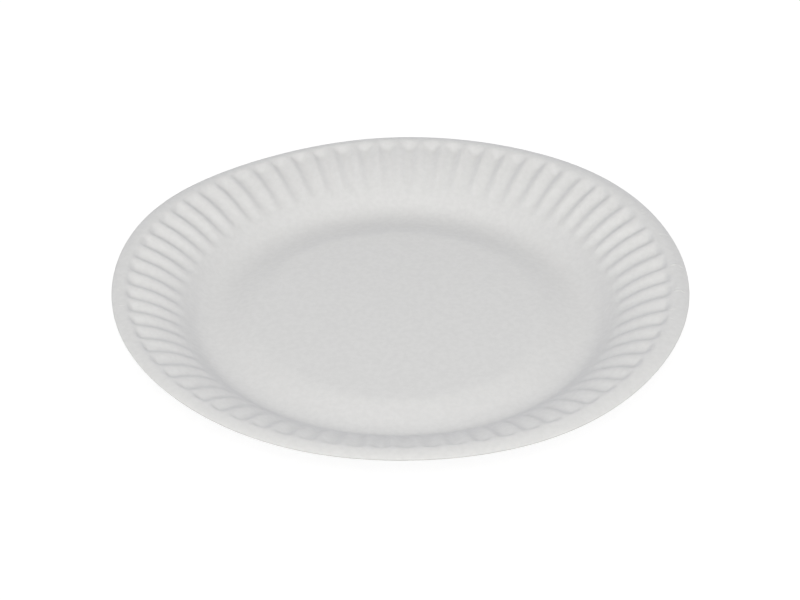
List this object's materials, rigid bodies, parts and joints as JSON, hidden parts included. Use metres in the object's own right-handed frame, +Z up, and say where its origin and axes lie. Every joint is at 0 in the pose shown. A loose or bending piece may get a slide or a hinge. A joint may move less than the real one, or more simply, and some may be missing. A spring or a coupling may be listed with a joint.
{
  "type": "paper plate",
  "caption": "Round white paper plate with a raised flat centre, a wall of narrow pressed flutes and a plain lip turned down at the rim.",
  "frame": {"origin": "centre of the plane the plate rests on, on the plate's axis", "axes": "+Z up along the plate's axis, out of the well; X and Y lie in the resting plane, with the pictured front towards -Y"},
  "size_m": [0.23, 0.23, 0.0184],
  "materials": {
    "paperboard": "matt, uncoated"
  },
  "bodies": {
    "root": {"plate": "paperboard"}
  },
  "joints": []
}
